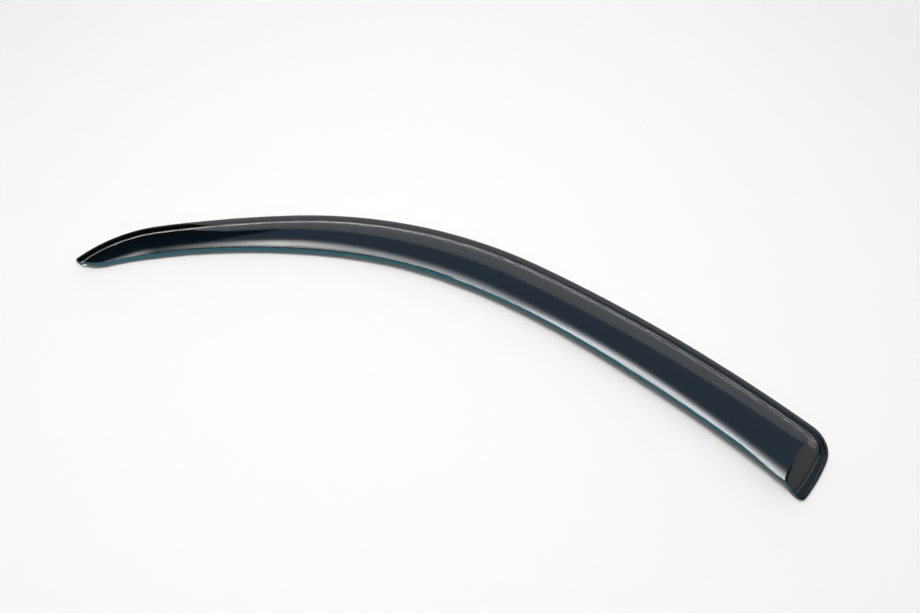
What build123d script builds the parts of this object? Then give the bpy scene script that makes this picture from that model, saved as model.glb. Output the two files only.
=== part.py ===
"""Window rain deflector for a front door: one tinted acrylic moulding and the tape that holds it.

It lies with its outer side up, as it would on a table: the flange is flat, the tape under it
touches the ground at Z = 0, and the panel stands clear on the step. +X runs from the pointed
nose to the wide rear end and +Y towards the arch of the door frame.
"""

import os
from math import atan2, cos, degrees, hypot, radians, sin, tan

from build123d import *

os.makedirs("parts", exist_ok=True)

# The sheet and the tape, in millimetres
SHEET = 4.0
TAPE_THICK = 1.0
TAPE_WIDTH = 10.0
TAPE_INSET = 1.0

# The outer edge: a chain of tangent arcs that all turn to the right, walked from the nose
NOSE_HEADING = 69.0
NOSE_RADIUS = 170.0
NOSE_ANGLE = 41.4
PILLAR_RADIUS = 1370.0
PILLAR_ANGLE = 7.4
SHOULDER_RADIUS = 600.0
SHOULDER_ANGLE = 35.2
ROOF_RADIUS = 1860.0
ROOF_ANGLE = 12.4
CORNER_RADIUS = 40.0
CORNER_ANGLE = 74.6
REAR_RADIUS = 250.0
REAR_ANGLE = 18.0

# The free edge: a blunt nose whose arc turns left, then a run through the width at each station
BLUNT_START = (3.4, -1.2)
BLUNT_HEADING = -20.7
BELLY_RADIUS = 47.0
BELLY_ANGLE = 55.3
SPLAY_ANGLE = 2.0
NOSE_ROUND = 3.0
REAR_ROUND = 6.0

# The step between the flange and the panel
FLANGE = 12.5
WALL_SLOPE = 45.0
REAR_SLOPE = 36.0
STEP_NOSE_RADIUS = 164.0
RIDGE_ROUND = 5.0
FOOT_ROUND = 3.0

# The panel at stations along the outer edge: its width from the outer edge to the free edge,
# the height of the ridge, the height of the free edge and the bulge between them
AT_NOSE = (40.0, 9.5, 5.5, 1.4)
AT_BELLY = (50.3, 12.0, 7.6, 2.6)
AT_PILLAR = (57.6, 13.5, 7.5, 3.8)
AT_SHOULDER = (68.7, 15.0, 8.7, 5.0)
AT_ARCH = (79.7, 15.0, 11.5, 5.4)
AT_ROOF = (84.5, 15.0, 13.5, 5.3)
AT_WINDOW = (87.9, 15.0, 14.6, 5.1)
AT_REAR = (92.3, 15.0, 15.3, 5.0)

# How far the construction bodies run past the outline before they are trimmed
RUN_OUT = 60.0
NEAR_RUN = 26.0
FAR_RUN = 14.0
ABOVE = 17.0
BELOW = 4.0
DEPTH = 40.0
TOUCH = 0.1

FLANGE_BOTTOM = TAPE_THICK
FLANGE_TOP = FLANGE_BOTTOM + SHEET


def inward(heading):
    """Plan direction to the right of a heading, which is towards the panel."""
    return Vector(sin(radians(heading)), -cos(radians(heading)))


def along(heading):
    """Plan direction of a heading."""
    return Vector(cos(radians(heading)), sin(radians(heading)))


def right_turn(centre, radius, first, last, z):
    """Arc round a centre between two headings, turning right."""
    points = [centre - inward(h) * radius for h in (first, (first + last) / 2, last)]
    return Edge.make_three_point_arc(*[Vector(p.X, p.Y, z) for p in points])


def flat_line(start, end, z):
    """Straight edge between two plan points at a height."""
    return Edge.make_line(Vector(start.X, start.Y, z), Vector(end.X, end.Y, z))


# Centre, radius, first and last heading of each arc of the outer edge
outer = []
point = Vector(0, 0)
heading = NOSE_HEADING
for radius, angle in (
    (NOSE_RADIUS, NOSE_ANGLE),
    (PILLAR_RADIUS, PILLAR_ANGLE),
    (SHOULDER_RADIUS, SHOULDER_ANGLE),
    (ROOF_RADIUS, ROOF_ANGLE),
    (CORNER_RADIUS, CORNER_ANGLE),
    (REAR_RADIUS, REAR_ANGLE),
):
    centre = point + inward(heading) * radius
    outer.append((centre, radius, heading, heading - angle))
    heading = heading - angle
    point = centre - inward(heading) * radius
nose_arc, pillar_arc, shoulder_arc, roof_arc, corner_arc, rear_arc = outer


def on_edge(arc, share, offset=0.0):
    """Plan point and heading on one arc of the outer edge, moved inwards by an offset."""
    centre, radius, first, last = arc
    h = first + (last - first) * share
    return centre - inward(h) * (radius - offset), h


# Where each station lies on the outer edge
stations = (
    (nose_arc, 0.0, AT_NOSE),
    (nose_arc, 0.5, AT_BELLY),
    (nose_arc, 1.0, AT_PILLAR),
    (pillar_arc, 1.0, AT_SHOULDER),
    (shoulder_arc, 0.5, AT_ARCH),
    (shoulder_arc, 1.0, AT_ROOF),
    (roof_arc, 0.5, AT_WINDOW),
    (roof_arc, 1.0, AT_REAR),
)


def edge_run(offset):
    """Edges along the outer edge at an offset, run out straight past both ends."""
    start, start_heading = on_edge(nose_arc, 0, offset)
    end, end_heading = on_edge(rear_arc, 1, offset)
    edges = [flat_line(start - along(start_heading) * RUN_OUT, start, 0)]
    edges += [right_turn(c, r - offset, first, last, 0) for c, r, first, last in outer]
    edges += [flat_line(end, end + along(end_heading) * RUN_OUT, 0)]
    return edges


def free_run():
    """Edges along the free edge, run out straight past both ends."""
    start = Vector(*BLUNT_START)
    belly = JernArc(start, along(BLUNT_HEADING), BELLY_RADIUS, BELLY_ANGLE)
    points = [belly @ 1]
    for arc, share, panel in stations[1:]:
        points.append(on_edge(arc, share, panel[0])[0])
    leave = along(roof_arc[3] - SPLAY_ANGLE)
    free = Spline(*points, tangents=(belly % 1, leave), tangent_scalars=(1, 1))
    lead = flat_line(start - along(BLUNT_HEADING) * RUN_OUT, start, 0)
    tail = flat_line(points[-1], points[-1] + leave * 2 * RUN_OUT, 0)
    return [lead, belly, free, tail]


def plan_outline():
    """Outline of the visor seen from above, with its two pointed corners rounded."""
    inside = edge_run(0)
    far = Vector(RUN_OUT, -10 * RUN_OUT)
    inside += [flat_line(inside[-1] @ 1, far, 0), flat_line(far, inside[0] @ 0, 0)]

    above = free_run()
    first = above[0] @ 0
    stop = above[-1] @ 1
    roof = Vector(stop.X, 10 * RUN_OUT)
    side = Vector(first.X, 10 * RUN_OUT)
    above += [flat_line(stop, roof, 0), flat_line(roof, side, 0), flat_line(side, first, 0)]

    plan = make_face(inside) & make_face(above)
    plan = fillet(plan.vertices().sort_by(Axis.X)[0], NOSE_ROUND)
    return fillet(plan.vertices().sort_by(Axis.Y)[0], REAR_ROUND)


def rear_corner(top_offset, rear_offset):
    """Corner arc that joins the roof arc and the rear arc at their own offsets."""
    roof_centre, roof_radius = roof_arc[0], ROOF_RADIUS - top_offset
    rear_centre, rear_radius = rear_arc[0], REAR_RADIUS - rear_offset
    radius = CORNER_RADIUS - top_offset
    a = roof_radius - radius
    b = rear_radius - radius
    gap = rear_centre - roof_centre
    reach = (a**2 - b**2 + gap.length**2) / (2 * gap.length)
    side = (a**2 - reach**2) ** 0.5
    unit = gap.normalized()
    across = Vector(-unit.Y, unit.X)
    choices = [roof_centre + unit * reach + across * s for s in (side, -side)]
    centre = min(choices, key=lambda c: (c - corner_arc[0]).length)
    headings = []
    for pivot in (roof_centre, rear_centre):
        out = centre - pivot
        headings.append(degrees(atan2(out.Y, out.X)) - 90)
    return centre, radius, headings[0], headings[1]


def step_wire(z, grow):
    """Closed line of the step wall at a height; grow is the sheet for the inner side."""
    rise = z - FLANGE_TOP
    top = FLANGE + rise / tan(radians(WALL_SLOPE)) + grow / sin(radians(WALL_SLOPE))
    rear = FLANGE + rise / tan(radians(REAR_SLOPE)) + grow / sin(radians(REAR_SLOPE))
    corner_centre, corner_radius, turn_in, turn_out = rear_corner(top, rear)
    joint, joint_heading = on_edge(nose_arc, 1, top)
    nose_radius = STEP_NOSE_RADIUS + FLANGE - top
    nose_centre = joint + inward(joint_heading) * nose_radius
    start = nose_centre - inward(NOSE_HEADING) * nose_radius
    lead = start - along(NOSE_HEADING) * RUN_OUT
    end, end_heading = on_edge(rear_arc, 1, rear)
    tail = end + along(end_heading) * RUN_OUT
    edges = [
        flat_line(lead, start, z),
        right_turn(nose_centre, nose_radius, NOSE_HEADING, joint_heading, z),
        right_turn(pillar_arc[0], PILLAR_RADIUS - top, pillar_arc[2], pillar_arc[3], z),
        right_turn(shoulder_arc[0], SHOULDER_RADIUS - top, shoulder_arc[2], shoulder_arc[3], z),
        right_turn(roof_arc[0], ROOF_RADIUS - top, roof_arc[2], turn_in, z),
        right_turn(corner_centre, corner_radius, turn_in, turn_out, z),
        right_turn(rear_arc[0], REAR_RADIUS - rear, turn_out, end_heading, z),
        flat_line(end, tail, z),
        flat_line(tail, lead, z),
    ]
    return Wire(edges)


def step_body(low, high, grow):
    """Body inside the step wall between two heights."""
    return Solid.make_loft([step_wire(low, grow), step_wire(high, grow)], ruled=True)


def crown_section(origin, heading, panel, drop):
    """Section of the panel body across the outer edge, its crown lowered by the sheet."""
    width, ridge, free, bulge = panel
    first = FLANGE + (ridge - FLANGE_TOP) / tan(radians(WALL_SLOPE))
    span = width - first
    half = hypot(span, ridge - free) / 2
    radius = (half**2 + bulge**2) / (2 * bulge)
    tilt = atan2(ridge - free, span)
    centre_u = first + span / 2 - (radius - bulge) * sin(tilt)
    centre_z = (ridge + free) / 2 - (radius - bulge) * cos(tilt)
    plane = Plane(
        origin=(origin.X, origin.Y, 0),
        x_dir=(inward(heading).X, inward(heading).Y, 0),
        z_dir=(-along(heading).X, -along(heading).Y, 0),
    )

    def crown_point(u):
        rise = ((radius - drop) ** 2 - (u - centre_u) ** 2) ** 0.5
        return plane.from_local_coords(Vector(u, centre_z + rise, 0))

    near = first - NEAR_RUN
    far = width + FAR_RUN
    arc = Edge.make_three_point_arc(*[crown_point(u) for u in (near, (near + far) / 2, far)])
    below_far = plane.from_local_coords(Vector(far, -DEPTH, 0))
    below_near = plane.from_local_coords(Vector(near, -DEPTH, 0))
    sides = Polyline(arc @ 1, below_far, below_near, arc @ 0)
    return Wire([arc, *sides.edges()])


def crown_body(drop):
    """Body under the crowned panel, run out past both ends."""
    start, start_heading = on_edge(nose_arc, 0)
    end, end_heading = on_edge(roof_arc, 1)
    before = start - along(start_heading) * RUN_OUT
    behind = end + along(end_heading) * 1.5 * RUN_OUT
    sections = [crown_section(before, start_heading, AT_NOSE, drop)]
    for arc, share, panel in stations:
        sections.append(crown_section(*on_edge(arc, share), panel, drop))
    sections.append(crown_section(behind, end_heading, AT_REAR, drop))
    return Solid.make_loft(sections)


def step_edges(body, low, high):
    """Edges of the step between two heights that run along the outer edge, not across it."""
    line = Wire(edge_run(0))
    found = ShapeList()
    for edge in body.edges():
        points = [edge @ share for share in (0, 0.5, 1)]
        heights = [p.Z for p in points]
        insets = [line.distance_to(Vector(p.X, p.Y, 0)) for p in points]
        beside = max(insets) < RUN_OUT and max(insets) - min(insets) < edge.length / 2
        if beside and low < min(heights) and max(heights) < high:
            found.append(edge)
    return found


def skin(grow, area):
    """Solid under one side of the sheet; grow is zero outside and the sheet inside."""
    level = FLANGE_TOP - grow
    raised = step_body(level - BELOW, FLANGE_TOP + ABOVE, grow) & crown_body(grow)
    ridge = step_edges(raised, level + SHEET / 2, FLANGE_TOP + ABOVE - SHEET / 2)
    raised = fillet(ridge, RIDGE_ROUND - grow)
    ground = Pos(area.center().X, area.center().Y, level - BELOW)
    plate = Rectangle(area.size.X + 4 * RUN_OUT, area.size.Y + 4 * RUN_OUT)
    body = extrude(ground * plate, BELOW) + raised
    foot = step_edges(body, level - TOUCH, level + TOUCH)
    return fillet(foot, FOOT_ROUND + grow)


def tape_face(plan):
    """Plan of the tape: a band along the outer edge that stays inside the outline."""
    first = edge_run(TAPE_INSET)
    second = edge_run(TAPE_INSET + TAPE_WIDTH)
    ends = [flat_line(first[i] @ at, second[i] @ at, 0) for i, at in ((0, 0), (-1, 1))]
    return make_face(first + second + ends) & offset(plan, -TAPE_INSET)


plan = plan_outline()
area = plan.bounding_box()
visor = (skin(0, area) - skin(SHEET, area)) & extrude(plan, DEPTH)
mounting_tape = extrude(tape_face(plan), TAPE_THICK)

# Put the middle of the outline over the origin, with the tape on the ground
to_middle = Pos(-area.center().X, -area.center().Y, 0)
for name, body in (("visor", visor), ("mounting_tape", mounting_tape)):
    solid = (to_middle * body).solid()
    solid.label = name
    export_step(solid, f"parts/{name}.step")
    print(f"{name}: {solid.volume:.0f} mm3, valid {solid.is_valid}")
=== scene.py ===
# %% [markdown]
# # Window rain deflector
#
# The part is a tinted acrylic visor that is taped to a car door above the window. The CAD model
# gives the exact solids. This scene loads them as a fixed frame, gives the visor a finer skin
# that reflections run over smoothly, and lights it as a studio would.

# %% Load the frame
import math

import bpy
import numpy as np
from mathutils import Matrix, Vector


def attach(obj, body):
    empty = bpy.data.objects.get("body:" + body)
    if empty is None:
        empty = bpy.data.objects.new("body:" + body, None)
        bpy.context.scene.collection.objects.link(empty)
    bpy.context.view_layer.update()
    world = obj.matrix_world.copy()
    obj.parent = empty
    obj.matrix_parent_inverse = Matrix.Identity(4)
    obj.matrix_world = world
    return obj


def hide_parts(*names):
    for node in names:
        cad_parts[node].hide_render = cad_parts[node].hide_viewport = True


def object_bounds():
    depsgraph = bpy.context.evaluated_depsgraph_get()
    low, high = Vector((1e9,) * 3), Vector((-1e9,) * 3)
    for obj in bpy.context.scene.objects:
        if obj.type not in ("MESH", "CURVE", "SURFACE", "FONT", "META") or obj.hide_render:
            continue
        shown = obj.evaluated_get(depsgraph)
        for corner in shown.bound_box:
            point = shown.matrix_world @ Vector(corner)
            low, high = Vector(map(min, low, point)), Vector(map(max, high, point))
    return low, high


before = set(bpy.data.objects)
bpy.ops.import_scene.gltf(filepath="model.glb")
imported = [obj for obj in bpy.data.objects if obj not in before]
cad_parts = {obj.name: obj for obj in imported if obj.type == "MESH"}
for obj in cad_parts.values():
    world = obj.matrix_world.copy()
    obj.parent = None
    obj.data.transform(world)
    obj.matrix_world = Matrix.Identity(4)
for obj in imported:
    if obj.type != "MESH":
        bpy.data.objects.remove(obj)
cad_box = [list(corner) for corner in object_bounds()]
print("CAD nodes:", sorted(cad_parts))

# %% [markdown]
# ## The camera
#
# The camera comes first, so that every later look at the scene has the right view. It stands in
# front of the free edge, about 52 degrees above the table. Its axes are written as the three
# columns of a rotation matrix: right, up and backwards.

# %% Camera
VIEW_AZIMUTH = math.radians(17.39)
VIEW_ELEVATION = math.radians(52.0)
VIEW_POINT = Vector((0.2624, -0.7528, 1.0342))
VIEW_LENS = 39.13
SENSOR_WIDTH = 36.0

view_right = Vector((math.cos(VIEW_AZIMUTH), math.sin(VIEW_AZIMUTH), 0.0))
view_away = Vector((-math.sin(VIEW_AZIMUTH), math.cos(VIEW_AZIMUTH), 0.0))
view_back = Vector((0, 0, 1)) * math.sin(VIEW_ELEVATION) - view_away * math.cos(VIEW_ELEVATION)
view_up = view_back.cross(view_right)

camera = bpy.data.objects.new("camera", bpy.data.cameras.new("camera"))
camera.data.lens = VIEW_LENS
camera.data.sensor_width = SENSOR_WIDTH
camera.data.clip_start = 0.01
camera.matrix_world = Matrix.Translation(VIEW_POINT) @ Matrix(
    (view_right, view_up, view_back)
).transposed().to_4x4()
bpy.context.scene.collection.objects.link(camera)
bpy.context.scene.camera = camera
print("camera looks along", [round(c, 3) for c in -view_back])

# %% [markdown]
# ## The outer edge
#
# The real visor follows the frame of the door: its outer edge is a chain of arcs that flow into
# each other. A short list of radii and angles holds the whole line, in millimetres and degrees,
# with the nose at the start. A point on the line is found from its distance along it.

# %% Outer edge
NOSE_HEADING = 69.0
EDGE_ARCS = ((170, 41.4), (1370, 7.4), (600, 35.2), (1860, 12.4), (40, 74.6), (250, 18.0))
ROOF = 3
CORNER = 4


def inward(heading):
    """Plan direction to the right of a heading in degrees, which is towards the panel."""
    h = np.radians(heading)
    return np.stack([np.sin(h), -np.cos(h)], axis=-1)


def along(heading):
    """Plan direction of a heading in degrees."""
    h = np.radians(heading)
    return np.stack([np.cos(h), np.sin(h)], axis=-1)


def walk_edge():
    """Each arc as centre, radius, first heading and start along the line, and the length."""
    arcs = []
    point = np.zeros(2)
    heading = NOSE_HEADING
    start = 0.0
    for radius, angle in EDGE_ARCS:
        centre = point + inward(heading) * radius
        arcs.append((centre, radius, heading, start))
        start += radius * math.radians(angle)
        heading -= angle
        point = centre - inward(heading) * radius
    return arcs, start


edge_arcs, edge_length = walk_edge()
edge_starts = [arc[-1] for arc in edge_arcs]


def on_edge(s):
    """Plan points and headings at distances along the outer edge."""
    s = np.asarray(s, float)
    points = np.zeros(s.shape + (2,))
    headings = np.zeros(s.shape)
    for centre, radius, first, start in edge_arcs:
        here = s >= start
        turned = first - np.degrees((s - start) / radius)
        points[here] = (centre - inward(turned) * radius)[here]
        headings[here] = turned[here]
    return points, headings


def off_edge(points):
    """Distance along the line from nose to roof, run out straight, and inset of plan points."""
    s = np.zeros(len(points))
    inset = np.zeros(len(points))
    for centre, radius, first, start in edge_arcs[: ROOF + 1]:
        out = points - centre
        heading = np.degrees(np.arctan2(out[:, 1], out[:, 0])) - 90
        here = heading <= first + 1e-9
        s[here] = (start + radius * np.radians(first - heading))[here]
        inset[here] = (radius - np.linalg.norm(out, axis=1))[here]
    roof_end, roof_heading = on_edge(edge_starts[CORNER] - 1e-9)
    past = (points - roof_end) @ along(roof_heading)
    here = past > 0
    s[here] = edge_starts[CORNER] + past[here]
    inset[here] = ((points - roof_end) @ inward(roof_heading))[here]
    return s, inset


print("outer edge is", round(edge_length), "mm long")

# %% [markdown]
# ## Sizes that change along the visor
#
# The panel gets wider, higher and more crowned from the nose to the rear. A few stations hold its
# sizes, and a cubic spline gives every place between them. Smooth numbers matter here, because
# a polished surface shows the smallest kink as a broken reflection.

# %% Stations
# Width, height of the ridge, height of the free edge and bulge, in millimetres
STATION_SIZES = np.array((
    (40.0, 9.5, 5.5, 1.4),
    (40.0, 9.5, 5.5, 1.4),
    (50.3, 12.0, 7.6, 2.6),
    (57.6, 13.5, 7.5, 3.8),
    (68.7, 15.0, 8.7, 5.0),
    (79.7, 15.0, 11.5, 5.4),
    (84.5, 15.0, 13.5, 5.3),
    (87.9, 15.0, 14.6, 5.1),
    (92.3, 15.0, 15.3, 5.0),
    (92.3, 15.0, 15.3, 5.0),
))
# Which arc a station lies on and its share of that arc, between the two run-outs
STATION_PLACES = ((0, 0.0), (0, 0.5), (0, 1.0), (1, 1.0), (2, 0.5), (2, 1.0), (3, 0.5), (3, 1.0))
RUN_BEFORE = 60.0
RUN_BEHIND = 90.0


def spline(knots, values, at, ends=None):
    """Smooth cubic curve through values at knots, with free ends or given end slopes."""
    count = len(knots)
    step = np.diff(knots)
    rise = np.diff(values, axis=0) / step[:, None]
    matrix = np.zeros((count, count))
    target = np.zeros((count, values.shape[1]))
    for i in range(1, count - 1):
        matrix[i, i - 1 : i + 2] = (step[i], 2 * (step[i - 1] + step[i]), step[i - 1])
        target[i] = 3 * (rise[i - 1] * step[i] + rise[i] * step[i - 1])
    if ends is None:
        matrix[0, :2] = (2, 1)
        matrix[-1, -2:] = (1, 2)
        target[0] = 3 * rise[0]
        target[-1] = 3 * rise[-1]
    else:
        matrix[0, 0] = 1
        matrix[-1, -1] = 1
        target[0] = ends[0]
        target[-1] = ends[1]
    slope = np.linalg.solve(matrix, target)
    k = np.clip(np.searchsorted(knots, at) - 1, 0, count - 2)
    h = step[k][:, None]
    t = ((at - knots[k]) / step[k])[:, None]
    return (
        values[k] * (1 + 2 * t) * (1 - t) ** 2
        + slope[k] * h * t * (1 - t) ** 2
        + values[k + 1] * t**2 * (3 - 2 * t)
        + slope[k + 1] * h * t**2 * (t - 1)
    )


station_s = np.array(
    [-RUN_BEFORE]
    + [edge_starts[a] + share * edge_arcs[a][1] * math.radians(EDGE_ARCS[a][1])
       for a, share in STATION_PLACES]
    + [edge_starts[CORNER] + RUN_BEHIND]
)
print("stations at", [round(s) for s in station_s], "mm")

# %% [markdown]
# ## The crown
#
# Across the panel the surface is a low arc from the ridge to the free edge. This function gives
# its height over any plan point: it looks up the sizes there and evaluates that arc.

# %% Crown height
FLANGE_TOP = 5.0
FLANGE = 12.5


def crown_height(points):
    """Height of the crowned panel over plan points, in millimetres."""
    s, inset = off_edge(points)
    width, ridge, free, bulge = spline(station_s, STATION_SIZES, s).T
    first = FLANGE + ridge - FLANGE_TOP
    span = width - first
    half = np.hypot(span, ridge - free) / 2
    radius = (half**2 + bulge**2) / (2 * bulge)
    tilt = np.arctan2(ridge - free, span)
    centre_u = first + span / 2 - (radius - bulge) * np.sin(tilt)
    centre_z = (ridge + free) / 2 - (radius - bulge) * np.cos(tilt)
    return centre_z + np.sqrt(radius**2 - (inset - centre_u) ** 2)


print("crown over plan point (500, 150):", crown_height(np.array([[500.0, 150.0]])).round(2), "mm")

# %% [markdown]
# ## The free edge
#
# The lower edge starts at the blunt nose, turns in a tight belly arc and then runs through the
# width at each station. It is sampled as a fine line with its own length, so that sections can
# end on it.

# %% Free edge
BLUNT_START = np.array((3.4, -1.2))
BLUNT_HEADING = -20.7
BELLY_RADIUS = 47.0
BELLY_ANGLE = 55.3
SPLAY_ANGLE = 2.0


def free_line():
    """Plan points of the free edge from the blunt nose to past the rear end."""
    centre = BLUNT_START - inward(BLUNT_HEADING) * BELLY_RADIUS
    turn = BLUNT_HEADING + np.linspace(0, BELLY_ANGLE, 200)
    belly = centre + inward(turn) * BELLY_RADIUS
    places, headings = on_edge(station_s[2:-1])
    knots = places + inward(headings) * STATION_SIZES[2:-1, :1]
    knots = np.vstack([belly[-1], knots])
    leave = along(headings[-1] - SPLAY_ANGLE)
    length = np.concatenate([[0], np.cumsum(np.linalg.norm(np.diff(knots, axis=0), axis=1))])
    ends = (along(BLUNT_HEADING + BELLY_ANGLE), leave)
    run = spline(length, knots, np.linspace(0, length[-1], 4000), ends)
    lead = BLUNT_START - along(BLUNT_HEADING) * np.linspace(6, 0.1, 60)[:, None]
    tail = knots[-1] + leave * np.linspace(0.5, RUN_BEHIND, 300)[:, None]
    return np.vstack([lead, belly[:-1], run, tail])


free_points = free_line()
free_length = np.concatenate([[0], np.cumsum(np.linalg.norm(np.diff(free_points, axis=0), axis=1))])


def on_free(b):
    """Plan points at distances along the free edge."""
    return np.stack([np.interp(b, free_length, free_points[:, k]) for k in (0, 1)], axis=-1)


print("free edge sampled at", len(free_points), "points")

# %% [markdown]
# ## Where the two edges meet
#
# Both edges cross at the nose and at the rear tip, almost at right angles. The crossings are the
# ends of the sweep, and a small radius rounds each of them.

# %% Tips
NOSE_ROUND = 3.0
REAR_ROUND = 6.0


def crossing(s_low, s_high):
    """Distance along both edges where they cross, searched between two places."""
    s = np.linspace(s_low, s_high, 4000)
    points, _ = on_edge(s)
    gap = np.linalg.norm(points[:, None] - free_points[None, ::4], axis=2)
    i, j = np.unravel_index(gap.argmin(), gap.shape)
    return s[i], free_length[::4][j]


nose_s, nose_b = crossing(0, 8)
rear_s, rear_b = crossing(edge_length - 60, edge_length)
print("edges meet at", round(nose_s, 2), "and", round(rear_s, 2), "mm of", round(edge_length, 2))

# %% [markdown]
# ## Sections across the visor
#
# A maker would describe the visor by sections: a low flange, a small round at the foot of the
# step, the sloping wall, a round at the ridge and the crown. Each section here starts on the
# outer edge and ends on the free edge. Along the main run it stands square to the outer edge.
# Round the rear corner the sections fan out, so that they never cross.

# %% Places of the sections
corner_s = edge_starts[CORNER]
FAN_LEAD = 110.0
FAN_START = corner_s - FAN_LEAD
TIP_REACH = 14.0
WALL_SLOPE = 45.0
REAR_SLOPE = 36.0


def grow_steps(first, last, fine, coarse, ramp):
    """Distances from first to last whose steps grow from fine to coarse over a ramp."""
    steps = [first]
    while steps[-1] < last:
        share = min(1.0, (steps[-1] - first) / ramp)
        steps.append(steps[-1] + fine + (coarse - fine) * share)
    steps = np.array(steps)
    return first + (steps - first) * (last - first) / (steps[-1] - first)


fan_point, fan_heading = on_edge(FAN_START)
fan_width = spline(station_s, STATION_SIZES, np.array([FAN_START]))[0, 0]
fan_b = free_length[
    np.linalg.norm(free_points - fan_point - inward(fan_heading) * fan_width, axis=1).argmin()
]
main_b = grow_steps(nose_b + NOSE_ROUND, fan_b, 0.6, 5.0, 90.0)
main_s, main_width = off_edge(on_free(main_b))
fan_s = np.concatenate([
    np.arange(main_s[-1] + 5.0, corner_s - 4, 4.5),
    np.arange(corner_s - 4, rear_s - TIP_REACH, 1.6),
    rear_s - TIP_REACH * np.linspace(1, 0, 24) ** 1.6,
])
section_s = np.concatenate([main_s, fan_s])
print(len(main_s), "square sections and", len(fan_s), "in the fan")

# %% [markdown]
# ## The shape of one section
#
# The wall leaves the flange at 45 degrees, and at a flatter angle round the rear. Where it meets
# the crown is searched by halving an interval, for all sections at once. The two rounds are
# true arcs between the tangents. The flange rolls down a little towards its outer edge, as a
# heated sheet does over a form, and the foot of the step is softer round the rear.

# %% Section rule
SHEET = 4.0
TAPE_TOP = 1.02
STEP_NOSE_RADIUS = 164.0
RIDGE_ROUND = 7.0
FOOT_ROUND = 3.0
REAR_FOOT_ROUND = 20.0
FLANGE_ROLL = 0.9
REAR_FLANGE_ROLL = 1.5
FLANGE_STEPS, ROUND_STEPS, WALL_STEPS, CROWN_STEPS = 9, 9, 3, 34
CUT_REACH = 6.0
EDGE_BEVEL = 2.4
BEVEL_FADE = 45.0
REAR_UPRIGHT = 44.0
TIP_RUN = 40.0
SWING_REACH = 12.0
SEARCH_REACH = 40.0
HALVINGS = 50
SLOPE_PROBE = 1.5

edge_points, edge_headings = on_edge(section_s)
inwards = inward(edge_headings)
free_way = on_free(rear_b - TIP_RUN) - on_free(rear_b)
free_way /= np.linalg.norm(free_way)
swing = np.clip(1 - (rear_s - section_s) / SWING_REACH, 0, 1)[:, None]
inwards = inwards * (1 - swing) + free_way * swing
inwards /= np.linalg.norm(inwards, axis=1)[:, None]

round_corner = np.clip((section_s - corner_s) / (edge_starts[CORNER + 1] - corner_s), 0, 1)
round_corner = round_corner**2 * (3 - 2 * round_corner)
flat_rate = 1 / math.tan(math.radians(WALL_SLOPE))
rear_rate = 1 / math.tan(math.radians(REAR_SLOPE))
wall_rise = 1 / (flat_rate + (rear_rate - flat_rate) * round_corner)
nose_turn = np.clip(1 - section_s / edge_starts[1], 0, 1) * math.radians(EDGE_ARCS[0][1])
foot = FLANGE - (STEP_NOSE_RADIUS + FLANGE - EDGE_ARCS[0][0]) * (1 - np.cos(nose_turn))


def bevel_at(b):
    """How far the cut leans at distances along the free edge; it stands upright at both tips."""
    share = np.clip(np.minimum(b - nose_b, rear_b - REAR_UPRIGHT - b) / BEVEL_FADE, 0, 1)
    return EDGE_BEVEL * share**2 * (3 - 2 * share)


def crown_over(inset):
    """Crown height over one inset per section."""
    return crown_height(edge_points + inwards * inset[:, None])


low, high = foot.copy(), foot + SEARCH_REACH
for _ in range(HALVINGS):
    middle = (low + high) / 2
    under = FLANGE_TOP + (middle - foot) * wall_rise < crown_over(middle)
    low = np.where(under, middle, low)
    high = np.where(under, high, middle)
ridge = (low + high) / 2
ridge_z = FLANGE_TOP + (ridge - foot) * wall_rise
wall_angle = np.arctan(wall_rise)
crown_angle = np.arctan((crown_over(ridge + SLOPE_PROBE) - crown_over(ridge)) / SLOPE_PROBE)
print("ridge lies", ridge.min().round(1), "to", ridge.max().round(1), "mm inside the edge")

# %% [markdown]
# The rule now writes every section as a row of points. Where the free edge cuts a section short,
# as at the nose, the points past the cut all lie on it, and a later merge makes them one.

# %% Rows of points
MM = 0.001
FAN_AT_CORNER = 0.55
NEVER_CUT = 1e3
PLAN_MIDDLE = np.array((500.586, 63.930, 0.0))

foot_round = FOOT_ROUND + (REAR_FOOT_ROUND - FOOT_ROUND) * round_corner
foot_run = foot_round * np.tan(wall_angle / 2)
ridge_run = RIDGE_ROUND * np.tan((wall_angle - crown_angle) / 2)
nose_gap = np.clip(NOSE_ROUND - (section_s - nose_s), 0, NOSE_ROUND)
rear_gap = np.clip(REAR_ROUND - (rear_s - section_s), 0, REAR_ROUND)
edge_start = NOSE_ROUND - np.sqrt(NOSE_ROUND**2 - nose_gap**2)
edge_start += REAR_ROUND - np.sqrt(REAR_ROUND**2 - rear_gap**2)

flange_roll = np.interp(section_s, [0, corner_s], [FLANGE_ROLL, REAR_FLANGE_ROLL])
columns = []
for share in np.linspace(0, 1, FLANGE_STEPS)[:-1]:
    columns.append((
        edge_start + (foot - foot_run - edge_start) * share,
        FLANGE_TOP - flange_roll * (1 - share) ** 2,
    ))
for share in np.linspace(0, 1, ROUND_STEPS):
    turn = wall_angle * share
    columns.append((
        foot - foot_run + foot_round * np.sin(turn),
        FLANGE_TOP + foot_round * (1 - np.cos(turn)),
    ))
wall_start = columns[-1]
ridge_start = ridge - ridge_run * np.cos(wall_angle), ridge_z - ridge_run * np.sin(wall_angle)
for share in np.linspace(0, 1, WALL_STEPS)[1:-1]:
    columns.append(tuple(a + (b - a) * share for a, b in zip(wall_start, ridge_start)))
ball = (
    ridge_start[0] + RIDGE_ROUND * np.sin(wall_angle),
    ridge_start[1] - RIDGE_ROUND * np.cos(wall_angle),
)
for share in np.linspace(0, 1, ROUND_STEPS):
    turn = wall_angle + (crown_angle - wall_angle) * share
    columns.append((ball[0] - RIDGE_ROUND * np.sin(turn), ball[1] + RIDGE_ROUND * np.cos(turn)))
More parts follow.
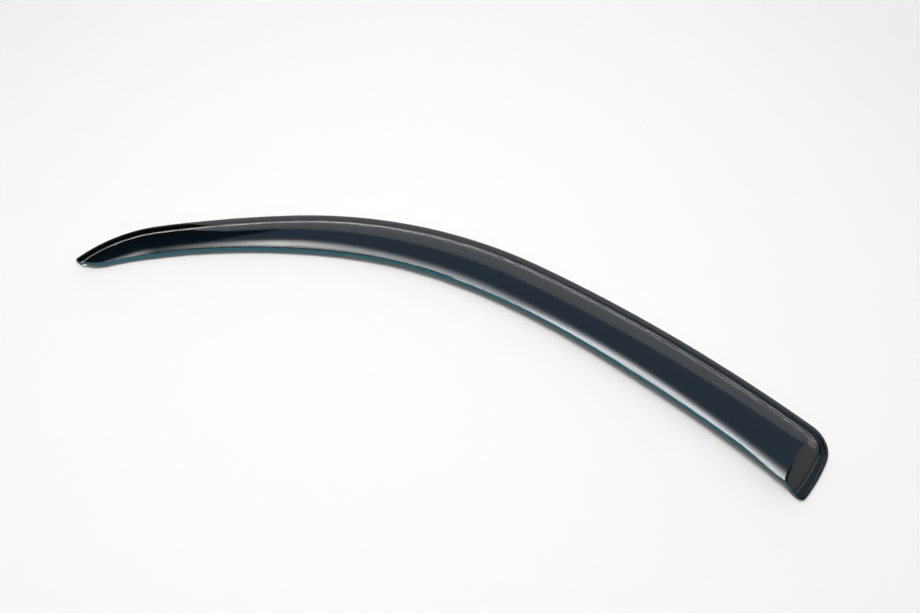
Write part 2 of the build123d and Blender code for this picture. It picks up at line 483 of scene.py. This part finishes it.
inset = np.stack([c[0] for c in columns], axis=1)
height = np.stack([c[1] for c in columns], axis=1)

ridge_end = inset[:, -1].copy()
fan_share = np.interp(fan_s, [main_s[-1], corner_s, rear_s], [0, FAN_AT_CORNER, 1])
end_b = fan_b + (rear_b - ridge_end[-1] - CUT_REACH - fan_b) * fan_share
section_b = np.concatenate([main_b, end_b])
section_way = on_free(section_b + 0.5) - on_free(section_b - 0.5)
section_out = inward(np.degrees(np.arctan2(section_way[:, 1], section_way[:, 0])))
free_ends = on_free(section_b) - section_out * bevel_at(section_b)[:, None]
section_width = np.concatenate([main_width, np.full(len(fan_s), NEVER_CUT)])

cut_short = section_width < ridge_end
for i in np.flatnonzero(cut_short):
    height[i] = np.interp(np.minimum(inset[i], section_width[i]), inset[i], height[i])
    inset[i] = np.minimum(inset[i], section_width[i])
near = edge_points[:, None] + inwards[:, None] * inset[:, :, None]
share = np.linspace(0, 1, CROWN_STEPS + 1)[1:, None]
far = near[:, -1:] + (free_ends - near[:, -1])[:, None] * share
far_z = crown_height(far.reshape(-1, 2)).reshape(far.shape[:2])
far_z[cut_short] = height[cut_short, -1:]
plan = np.concatenate([near, far], axis=1)
rows = np.concatenate([plan, np.concatenate([height, far_z], axis=1)[:, :, None]], axis=2)
cut_line = free_points[::3]
to_cut = np.linalg.norm(plan[:, :, None] - cut_line, axis=3)
nearest = to_cut.argmin(axis=2)
bevel = bevel_at(free_length[::3][nearest])
near_cut = np.clip(1 - (to_cut.min(axis=2) - bevel) / CUT_REACH, 0, 1)
near_cut = near_cut**2 * (3 - 2 * near_cut)
cut_way = np.gradient(cut_line, axis=0)
cut_out = inward(np.degrees(np.arctan2(cut_way[:, 1], cut_way[:, 0])))
lean = cut_out[nearest] * (near_cut * bevel * MM)[:, :, None]
lean = np.concatenate([lean, np.zeros(lean.shape[:2] + (1,))], axis=2)
rows = (rows - PLAN_MIDDLE) * MM
# The facets of the CAD mesh cut its rounds short by up to 0.2 mm, and the skin stays inside them
rows[:, :, :2] = np.clip(rows[:, :, :2], cad_box[0][:2], cad_box[1][:2])
print("rows and columns:", rows.shape[:2])

# %% [markdown]
# ## From rows to a sheet
#
# A Geometry Nodes tree turns the rows into the moulding. It lays a grid over the points, merges
# what coincides, and pushes a copy of the grid down by the thickness of the sheet, square to the
# surface. Next to the cut edge the copy moves straight down and out to the trim line, so that
# the cut leans back and shows from above. Extruding the grid by nothing makes the side walls,
# and the copy then moves to its place. The two corner inputs keep it inside the CAD box.

# %% Node helpers
def new_tree(name, sockets):
    """Empty geometry tree with named inputs, its group input and its output node."""
    tree = bpy.data.node_groups.new(name, "GeometryNodeTree")
    tree.interface.new_socket("Geometry", in_out="INPUT", socket_type="NodeSocketGeometry")
    for label, kind, value in sockets:
        socket = tree.interface.new_socket(label, in_out="INPUT", socket_type=kind)
        if value is not None:
            socket.default_value = value
    tree.interface.new_socket("Geometry", in_out="OUTPUT", socket_type="NodeSocketGeometry")
    return tree, tree.nodes.new("NodeGroupInput"), tree.nodes.new("NodeGroupOutput")


def add_node(tree, kind, links=(), **settings):
    """Node with settings and links; a link is an input's name or number and a socket or value."""
    node = tree.nodes.new(kind)
    for key, value in settings.items():
        setattr(node, key, value)
    for key, source in links:
        socket = node.inputs[key]
        if isinstance(source, bpy.types.NodeSocket):
            tree.links.new(source, socket)
        else:
            socket.default_value = source
    return node


def vector_math(tree, operation, a, b=None, scale=None):
    """Result socket of a vector operation."""
    node = add_node(tree, "ShaderNodeVectorMath", operation=operation)
    for slot, source in ((0, a), (1, b), (3, scale)):
        if source is None:
            continue
        if isinstance(source, bpy.types.NodeSocket):
            tree.links.new(source, node.inputs[slot])
        else:
            node.inputs[slot].default_value = source
    return node.outputs["Vector"]


def bake_tree(source, tree, name, values):
    """Plain mesh object from a tree on a source object, which is then removed."""
    modifier = source.modifiers.new(tree.name, "NODES")
    modifier.node_group = tree
    for item in tree.interface.items_tree:
        if item.in_out == "INPUT" and item.name in values:
            modifier[item.identifier] = values[item.name]
    depsgraph = bpy.context.evaluated_depsgraph_get()
    mesh = bpy.data.meshes.new_from_object(source.evaluated_get(depsgraph))
    mesh.name = name
    piece = bpy.data.objects.new(name, mesh)
    bpy.context.scene.collection.objects.link(piece)
    bpy.data.objects.remove(source)
    return piece


print("node helpers ready")

# %% Sheet tree
def sheet_tree():
    """Tree that skins rows of points and gives the skin its thickness."""
    tree, given, result = new_tree("sheet_from_rows", (
        ("Rows", "NodeSocketInt", 10),
        ("Columns", "NodeSocketInt", 10),
        ("Sheet", "NodeSocketFloat", 0.004),
        ("Low corner", "NodeSocketVector", (-9.0, -9.0, -9.0)),
        ("High corner", "NodeSocketVector", (9.0, 9.0, 9.0)),
        ("Merge", "NodeSocketFloat", 0.00002),
        ("Sharp angle", "NodeSocketFloat", 0.7),
        ("Material", "NodeSocketMaterial", None),
        ("Edge material", "NodeSocketMaterial", None),
    ))
    points = given.outputs["Geometry"]
    index = add_node(tree, "GeometryNodeInputIndex").outputs[0]
    grid = add_node(tree, "GeometryNodeMeshGrid", (
        ("Vertices X", given.outputs["Rows"]),
        ("Vertices Y", given.outputs["Columns"]),
    )).outputs["Mesh"]
    place = add_node(tree, "GeometryNodeSampleIndex", (
        ("Geometry", points),
        ("Index", index),
        ("Value", add_node(tree, "GeometryNodeInputPosition").outputs[0]),
    ), data_type="FLOAT_VECTOR").outputs[0]
    skin = grid
    for name, kind in (("near_cut", "FLOAT"), ("lean", "FLOAT_VECTOR")):
        given_here = add_node(
            tree, "GeometryNodeInputNamedAttribute", (("Name", name),), data_type=kind
        ).outputs[0]
        value = add_node(tree, "GeometryNodeSampleIndex", (
            ("Geometry", points), ("Index", index), ("Value", given_here),
        ), data_type=kind).outputs[0]
        skin = add_node(tree, "GeometryNodeStoreNamedAttribute", (
            ("Geometry", skin), ("Name", name), ("Value", value),
        ), data_type=kind).outputs[0]
    skin = add_node(tree, "GeometryNodeSetPosition", (
        ("Geometry", skin), ("Position", place),
    )).outputs[0]
    skin = add_node(tree, "GeometryNodeMergeByDistance", (
        ("Geometry", skin), ("Distance", given.outputs["Merge"]),
    )).outputs[0]
    skin = add_node(tree, "GeometryNodeFlipFaces", (("Mesh", skin),)).outputs[0]

    cut_here = add_node(
        tree, "GeometryNodeInputNamedAttribute", (("Name", "near_cut"),), data_type="FLOAT"
    ).outputs[0]
    lean_here = add_node(
        tree, "GeometryNodeInputNamedAttribute", (("Name", "lean"),), data_type="FLOAT_VECTOR"
    ).outputs[0]
    normal = add_node(tree, "GeometryNodeInputNormal").outputs[0]
    lift = add_node(tree, "ShaderNodeSeparateXYZ", ((0, normal),)).outputs["Z"]
    lift = add_node(tree, "ShaderNodeMath", ((0, lift), (1, 0.6)), operation="MAXIMUM").outputs[0]
    upright = add_node(tree, "ShaderNodeMath", ((0, 1.0), (1, lift)), operation="DIVIDE").outputs[0]
    upright = add_node(tree, "ShaderNodeCombineXYZ", (("Z", upright),)).outputs[0]
    way = add_node(tree, "ShaderNodeMix", (
        (0, cut_here), (4, normal), (5, upright),
    ), data_type="VECTOR").outputs[1]
    down = vector_math(tree, "SCALE", way, scale=given.outputs["Sheet"])
    position = add_node(tree, "GeometryNodeInputPosition").outputs[0]
    under = vector_math(tree, "SUBTRACT", position, down)
    under = vector_math(tree, "ADD", under, lean_here)
    under = vector_math(tree, "MAXIMUM", under, given.outputs["Low corner"])
    under = vector_math(tree, "MINIMUM", under, given.outputs["High corner"])
    skin = add_node(tree, "GeometryNodeStoreNamedAttribute", (
        ("Geometry", skin), ("Name", "under"), ("Value", under),
    ), data_type="FLOAT_VECTOR").outputs[0]

    pushed = add_node(tree, "GeometryNodeExtrudeMesh", (
        ("Mesh", skin), ("Offset Scale", 0.0), ("Individual", False),
    ), mode="FACES")
    under_here = add_node(
        tree, "GeometryNodeInputNamedAttribute", (("Name", "under"),), data_type="FLOAT_VECTOR"
    ).outputs[0]
    at_cut = add_node(tree, "FunctionNodeCompare", (
        (0, cut_here), (1, 0.9),
    ), data_type="FLOAT", operation="GREATER_THAN").outputs[0]
    at_cut = add_node(tree, "FunctionNodeBooleanMath", (
        (0, pushed.outputs["Side"]), (1, at_cut),
    ), operation="AND").outputs[0]
    lower = add_node(tree, "GeometryNodeStoreNamedAttribute", (
        ("Geometry", pushed.outputs["Mesh"]), ("Name", "cut_face"), ("Value", at_cut),
    ), data_type="BOOLEAN", domain="FACE").outputs[0]
    lower = add_node(tree, "GeometryNodeSetPosition", (
        ("Geometry", lower),
        ("Selection", pushed.outputs["Top"]),
        ("Position", under_here),
    )).outputs[0]
    lower = add_node(tree, "GeometryNodeFlipFaces", (("Mesh", lower),)).outputs[0]
    both = add_node(tree, "GeometryNodeJoinGeometry")
    tree.links.new(lower, both.inputs[0])
    tree.links.new(skin, both.inputs[0])
    shell = add_node(tree, "GeometryNodeMergeByDistance", (
        ("Geometry", both.outputs[0]), ("Distance", given.outputs["Merge"]),
    )).outputs[0]
    bend = add_node(tree, "GeometryNodeInputMeshEdgeAngle").outputs["Unsigned Angle"]
    sharp = add_node(tree, "FunctionNodeCompare", (
        (0, bend), (1, given.outputs["Sharp angle"]),
    ), data_type="FLOAT", operation="GREATER_THAN").outputs[0]
    shell = add_node(tree, "GeometryNodeStoreNamedAttribute", (
        ("Geometry", shell), ("Name", "sharp_edge"), ("Value", sharp),
    ), data_type="BOOLEAN", domain="EDGE").outputs[0]
    for used in ("under", "near_cut", "lean"):
        shell = add_node(tree, "GeometryNodeRemoveAttribute", (
            ("Geometry", shell), ("Name", used),
        )).outputs[0]
    shell = add_node(tree, "GeometryNodeRealizeInstances", (("Geometry", shell),)).outputs[0]
    shell = add_node(tree, "GeometryNodeSetMaterial", (
        ("Geometry", shell), ("Material", given.outputs["Material"]),
    )).outputs[0]
    cut_face = add_node(
        tree, "GeometryNodeInputNamedAttribute", (("Name", "cut_face"),), data_type="BOOLEAN"
    ).outputs[0]
    shell = add_node(tree, "GeometryNodeSetMaterial", (
        ("Geometry", shell), ("Selection", cut_face), ("Material", given.outputs["Edge material"]),
    )).outputs[0]
    tree.links.new(shell, result.inputs[0])
    return tree


print("sheet tree ready")

# %% [markdown]
# ## Tinted acrylic
#
# The sheet is clear acrylic with a blue-green smoke tint in the mass. Light that crosses it once,
# as at the cut edge, comes out teal. Light that crosses it twice is nearly black. So the colour
# sits in a Volume Absorption, and the surface itself is only a polished clear skin. Faint hazy
# patches in the roughness keep the reflections from looking computed.

# %% Acrylic material
def new_material(name):
    """Material with an empty node tree, its output and a Principled shader."""
    material = bpy.data.materials.new(name)
    material.use_nodes = True
    tree = material.node_tree
    tree.nodes.clear()
    output = tree.nodes.new("ShaderNodeOutputMaterial")
    shader = tree.nodes.new("ShaderNodeBsdfPrincipled")
    tree.links.new(shader.outputs["BSDF"], output.inputs["Surface"])
    return material, tree, output, shader


def object_noise(tree, scale, detail):
    """Noise over the piece's own coordinates."""
    place = add_node(tree, "ShaderNodeTexCoord").outputs["Object"]
    return add_node(tree, "ShaderNodeTexNoise", (
        ("Vector", place), ("Scale", scale), ("Detail", detail),
    )).outputs["Fac"]


ACRYLIC_IOR = 1.49
TINT = (0.20, 0.385, 0.465, 1)
TINT_DENSITY = 975.0
HAZE_LEAST, HAZE_MOST = 0.018, 0.034
acrylic, tree, output, shader = new_material("tinted_acrylic")
shader.inputs["Base Color"].default_value = (1, 1, 1, 1)
shader.inputs["IOR"].default_value = ACRYLIC_IOR
shader.inputs["Transmission Weight"].default_value = 1.0
haze = add_node(tree, "ShaderNodeMapRange", (
    ("Value", object_noise(tree, 38.0, 4.0)),
    ("From Min", 0.35), ("From Max", 0.75), ("To Min", HAZE_LEAST), ("To Max", HAZE_MOST),
)).outputs[0]
tree.links.new(haze, shader.inputs["Roughness"])
tint = add_node(tree, "ShaderNodeVolumeAbsorption", (
    ("Color", TINT), ("Density", TINT_DENSITY),
))
tree.links.new(tint.outputs[0], output.inputs["Volume"])
print("acrylic ready")

# %% [markdown]
# ## The trimmed edge
#
# A trimmed edge of tinted acrylic is satin and gathers the light that runs inside the sheet, so
# it glows teal. Here the face is an opaque satin teal: its hue is the sheet's tint, and its
# brightness is a painted glow standing in for the light carried through the sheet. Fine marks
# of the cutter come from a noise that is drawn out in height.

# %% Cut edge material
# Painted glow: the sheet's teal tint, made as bright as the light that crosses the sheet to its cut
# edge
CUT_DARK = (0.022, 0.085, 0.105, 1)
CUT_PALE = (0.042, 0.12, 0.145, 1)
cut_edge, tree, output, shader = new_material("cut_edge_painted_glow")
place = add_node(tree, "ShaderNodeTexCoord").outputs["Object"]
place = vector_math(tree, "MULTIPLY", place, (1.0, 1.0, 0.15))
marks = add_node(tree, "ShaderNodeTexNoise", (
    ("Vector", place), ("Scale", 420.0), ("Detail", 3.0),
)).outputs["Fac"]
teal = add_node(tree, "ShaderNodeMix", (
    (0, marks), (6, CUT_DARK), (7, CUT_PALE),
), data_type="RGBA").outputs[2]
tree.links.new(teal, shader.inputs["Base Color"])
satin = add_node(tree, "ShaderNodeMapRange", (
    ("Value", marks), ("To Min", 0.3), ("To Max", 0.45),
)).outputs[0]
tree.links.new(satin, shader.inputs["Roughness"])
shader.inputs["Specular IOR Level"].default_value = 0.2
print("cut edge ready")

# %% [markdown]
# ## The visor
#
# Now the rows become a mesh with the tree's two helper attributes, the tree runs once, and its
# result is kept as a plain mesh. It rides the only body and takes the place of the CAD visor,
# so that the two are never drawn over each other.

# %% Visor
MERGE = 0.00002
SHARP_ANGLE = math.radians(40)
points = bpy.data.meshes.new("visor_rows")
points.from_pydata(rows.reshape(-1, 3).tolist(), [], [])
points.attributes.new("near_cut", "FLOAT", "POINT").data.foreach_set(
    "value", near_cut.ravel().astype(np.float32)
)
points.attributes.new("lean", "FLOAT_VECTOR", "POINT").data.foreach_set(
    "vector", lean.ravel().astype(np.float32)
)
source = bpy.data.objects.new("visor_rows", points)
bpy.context.scene.collection.objects.link(source)
visor = bake_tree(source, sheet_tree(), "visor_shell", {
    "Rows": rows.shape[0],
    "Columns": rows.shape[1],
    "Sheet": SHEET * MM,
    "Low corner": cad_box[0][:2] + [TAPE_TOP * MM],
    "High corner": cad_box[1],
    "Merge": MERGE,
    "Sharp angle": SHARP_ANGLE,
    "Material": acrylic,
    "Edge material": cut_edge,
})
visor.data.attributes.remove(visor.data.attributes["cut_face"])
visor.data.shade_smooth()
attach(visor, "root")
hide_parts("visor")
lows, highs = np.array(visor.bound_box).min(0), np.array(visor.bound_box).max(0)
print("visor:", len(visor.data.polygons), "faces, box", lows.round(4), highs.round(4))

# %% [markdown]
# ## Foam tape
#
# A black acrylic foam tape sits under the flange. Foam is matt and full of tiny cells, which a
# fine noise gives as bump and as small changes of grey. The CAD strip keeps its shape.

# %% Tape material
FOAM_DARK, FOAM_PALE = 0.006, 0.016
CELL_SCALE, CELL_DEPTH = 2600.0, 0.0002
foam, tree, output, shader = new_material("foam_tape")
cells = object_noise(tree, CELL_SCALE, 3.0)
shade = add_node(tree, "ShaderNodeMapRange", (
    ("Value", cells), ("From Min", 0.3), ("From Max", 0.7),
    ("To Min", FOAM_DARK), ("To Max", FOAM_PALE),
)).outputs[0]
tree.links.new(shade, shader.inputs["Base Color"])
shader.inputs["Roughness"].default_value = 0.9
bump = add_node(tree, "ShaderNodeBump", (
    ("Height", cells), ("Strength", 0.5), ("Distance", CELL_DEPTH),
))
tree.links.new(bump.outputs[0], shader.inputs["Normal"])
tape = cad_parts["mounting_tape"]
tape.data.materials.clear()
tape.data.materials.append(foam)
print("tape has", len(tape.data.polygons), "faces")

# %% [markdown]
# ## The table
#
# The visor lies on a wide white table with a low rim. Near the visor only the lamps light it, so
# that it keeps the shadow. Further off it glows white for the camera, in reflections and through
# the sheet, which a Light Path node sorts out.

# %% Table
TABLE_RADIUS = 40.0
TABLE_SIDES = 60
RIM_HEIGHT = 4.0
TABLE_WHITE = (0.795, 0.775, 0.755, 1)
GLOW_START, GLOW_FULL = 0.9, 3.0
GLOW_NEAR, GLOW_FAR = 0.03, 1.0
turns = [2 * math.pi * k / TABLE_SIDES for k in range(TABLE_SIDES)]
ring = [(TABLE_RADIUS * math.cos(turn), TABLE_RADIUS * math.sin(turn)) for turn in turns]
corners = [(x, y, z) for z in (0.0, RIM_HEIGHT) for x, y in ring]
sides = [tuple(range(TABLE_SIDES))]
for k in range(TABLE_SIDES):
    after = (k + 1) % TABLE_SIDES
    sides.append((k, k + TABLE_SIDES, after + TABLE_SIDES, after))
floor_mesh = bpy.data.meshes.new("table")
floor_mesh.from_pydata(corners, [], sides)
floor = bpy.data.objects.new("table", floor_mesh)
bpy.context.scene.collection.objects.link(floor)
paper, tree, output, shader = new_material("table_white")
shader.inputs["Base Color"].default_value = TABLE_WHITE
shader.inputs["Roughness"].default_value = 0.9
shader.inputs["Specular IOR Level"].default_value = 0.0
path = tree.nodes.new("ShaderNodeLightPath")
seen = add_node(tree, "ShaderNodeMath", (
    (0, path.outputs["Is Camera Ray"]), (1, path.outputs["Is Glossy Ray"]),
), operation="MAXIMUM").outputs[0]
seen = add_node(tree, "ShaderNodeMath", (
    (0, seen), (1, path.outputs["Is Transmission Ray"]),
), operation="MAXIMUM").outputs[0]
place = add_node(tree, "ShaderNodeTexCoord").outputs["Object"]
reach = add_node(tree, "ShaderNodeVectorMath", ((0, place),), operation="LENGTH").outputs["Value"]
glow = add_node(tree, "ShaderNodeMapRange", (
    ("Value", reach), ("From Min", GLOW_START), ("From Max", GLOW_FULL),
    ("To Min", GLOW_NEAR), ("To Max", GLOW_FAR),
), interpolation_type="SMOOTHSTEP").outputs[0]
seen = add_node(tree, "ShaderNodeMath", ((0, seen), (1, glow)), operation="MULTIPLY").outputs[0]
shader.inputs["Emission Color"].default_value = (1, 1, 1, 1)
tree.links.new(seen, shader.inputs["Emission Strength"])
floor.data.materials.append(paper)
print("table ready")

# %% [markdown]
# ## The lamps
#
# A polished dark sheet shows the lamps more than its own colour, so each lamp is placed for what
# it draws on the visor. Pale walls on the far side show in the flange, below the ridge and on the
# rear wall. A low strip on the horizon draws the fine line along the ridge, and a dim cool
# ceiling tints the panel. A round softbox with a fading rim makes the bright line along the free
# edge. The room above stays dark.

# %% Lamp helpers
WHITE = (1.0, 1.0, 1.0)
DISH_MIDDLE = 0.25
DISH_INNER, DISH_OUTER = 0.3, 0.85
RIM_POWER = 4.0


def studio_place(right, away, up):
    """World place from metres to the right of the camera's axis, away from it and up."""
    return view_right * right + view_away * away + Vector((0, 0, up))


def area_lamp(name, place, target, size, radiance, colour=WHITE):
    """Rectangular softbox that faces a target, with an even radiance where 1 is white."""
    lamp = bpy.data.lights.new(name, "AREA")
    lamp.shape = "RECTANGLE"
    lamp.size, lamp.size_y = size
    lamp.energy = radiance * math.pi * size[0] * size[1]
    lamp.color = colour
    box = bpy.data.objects.new(name, lamp)
    back = (studio_place(*place) - studio_place(*target)).normalized()
    level = Vector((0, 0, 1)).cross(back) if back.z < 0.9 else view_right
    box.matrix_world = Matrix.Translation(studio_place(*place)) @ Matrix(
        (level, back.cross(level), back)
    ).transposed().to_4x4()
    box.visible_camera = False
    bpy.context.scene.collection.objects.link(box)
    return box


def soft_round(box, core, reach):
    """Make a square lamp a round dish: dim in the middle, bright at a core radius, then fading."""
    box.data.use_nodes = True
    tree = box.data.node_tree
    place = add_node(tree, "ShaderNodeNewGeometry").outputs["Parametric"]
    place = vector_math(tree, "SUBTRACT", place, (0.5, 0.5, 0.0))
    place = vector_math(tree, "SCALE", place, scale=box.data.size)
    off = add_node(tree, "ShaderNodeVectorMath", ((0, place),), operation="LENGTH").outputs["Value"]
    fade = add_node(tree, "ShaderNodeMapRange", (
        ("Value", off), ("From Min", reach), ("From Max", core),
    )).outputs[0]
    fade = add_node(tree, "ShaderNodeMath", (
        (0, fade), (1, RIM_POWER),
    ), operation="POWER").outputs[0]
    dish = add_node(tree, "ShaderNodeMapRange", (
        ("Value", off), ("From Min", core * DISH_INNER), ("From Max", core * DISH_OUTER),
        ("To Min", DISH_MIDDLE),
    ), interpolation_type="SMOOTHSTEP").outputs[0]
    fade = add_node(tree, "ShaderNodeMath", ((0, fade), (1, dish)), operation="MULTIPLY").outputs[0]
    tree.links.new(fade, tree.nodes["Emission"].inputs["Strength"])


print("lamp helpers ready")

# %% Lights
BACKDROP_COLOUR = (0.96, 1.0, 1.06)
CEILING_COLOUR = (0.76, 1.0, 1.32)
area_lamp("backdrop", (2.3, 4.0, 2.0), (2.3, 0.0, 2.0), (8.0, 4.0), 1.2, BACKDROP_COLOUR)
area_lamp("horizon", (0.8, 3.9, 0.34), (0.8, 0.0, 0.34), (7.0, 0.56), 5.0)
area_lamp("right_wall", (5.7, 0.8, 2.2), (0.0, 0.0, 2.2), (6.0, 4.4), 0.75)
area_lamp("low_wall", (-3.9, 3.1, 1.0), (0.0, 0.0, 1.0), (6.0, 2.0), 1.2)
area_lamp("ceiling", (1.15, 2.2, 4.0), (1.15, 2.2, 0.0), (4.8, 3.6), 0.52, CEILING_COLOUR)
area_lamp("side_panel", (3.1, 1.05, 4.0), (3.1, 1.05, 0.0), (3.0, 1.7), 1.4)
area_lamp("front_fill", (0.0, -3.0, 2.4), (0.0, 0.0, 2.4), (6.0, 3.2), 0.55)
softbox = area_lamp("softbox", (-0.17, -0.08, 2.2), (-0.17, -0.08, 0.0), (2.0, 2.0), 14.5)
soft_round(softbox, 0.5, 1.0)
print("eight lamps ready")

# %% [markdown]
# ## The room and the finish
#
# The room round the lamps is a dark grey, which the panel shows between the lamps.

# %% Room
ROOM_GREY = (0.03, 0.03, 0.03, 1)
world = bpy.data.worlds.new("studio")
bpy.context.scene.world = world
world.use_nodes = True
tree = world.node_tree
tree.nodes.clear()
background = add_node(tree, "ShaderNodeBackground", (("Color", ROOM_GREY),))
world_output = tree.nodes.new("ShaderNodeOutputWorld")
tree.links.new(background.outputs[0], world_output.inputs["Surface"])
bpy.context.scene.view_settings.view_transform = "Standard"
print("room ready")
